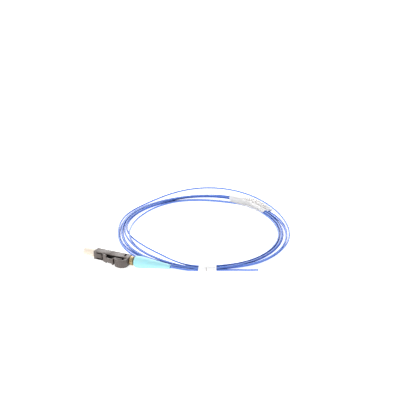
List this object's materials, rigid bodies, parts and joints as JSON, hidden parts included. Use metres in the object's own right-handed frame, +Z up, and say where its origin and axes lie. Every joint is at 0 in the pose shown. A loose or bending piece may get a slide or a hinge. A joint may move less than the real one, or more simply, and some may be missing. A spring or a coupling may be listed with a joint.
{
  "type": "fibre optic pigtail",
  "caption": "Fibre optic pigtail: a small latched plug with dust cap and bend-relief boot on a coil of thin buffered fibre with a bare cut end, tied and labelled.",
  "frame": {"origin": "middle of the plug's footprint on the floor, measured from its dust cap to its boot", "axes": "+X runs along the plug from its dust cap to its boot, +Y points away from the latch towards the coil, +Z is up"},
  "size_m": [0.0959, 0.1176, 0.0064],
  "materials": {
    "black_plastic": "satin moulded plastic",
    "zirconia": "polished",
    "brass": "satin machined",
    "aqua_boot": "soft moulded",
    "cap_plastic": "pale translucent",
    "blue_buffer": "smooth satin jacket",
    "white_tape": "thin film",
    "label_film": "satin film"
  },
  "bodies": {
    "plug": {"plug_housing": "black_plastic", "rear_cap": "black_plastic", "ferrule": "zirconia", "crimp_body": "brass", "boot": "aqua_boot", "fibre_lead": "blue_buffer", "fibre_coil": "blue_buffer", "fibre_stray_turn": "blue_buffer", "fibre_chord_turn": "blue_buffer", "fibre_tail": "blue_buffer", "tie_band": "white_tape", "label_sleeve": "label_film"},
    "cap": {"dust_cap": "cap_plastic"},
    "latch": {"latch_arm": "black_plastic"},
    "trigger": {"trigger": "black_plastic"}
  },
  "joints": [
    {"name": "cap_pull", "type": "slide", "parent": "plug", "child": "cap", "axis": [-0.9995, 0, -0.0301], "range_m": [0, 0.012]},
    {"name": "trigger_press", "type": "hinge", "parent": "plug", "child": "trigger", "pos_m": [0.00243, -0.00214, 0.00301], "axis": [0.0301, 0, -0.9995], "range_deg": [0, 8], "stiffness_Nm_per_rad": 0.00001},
    {"name": "latch_press", "type": "hinge", "parent": "plug", "child": "latch", "pos_m": [-0.01346, -0.00071, 0.00253], "axis": [-0.0301, 0, 0.9995], "range_deg": [0, 5.2], "stiffness_Nm_per_rad": 0.00001}
  ],
  "couplings": [
    {"joint": "latch_press", "follows": "trigger_press", "ratio": 0.65}
  ]
}
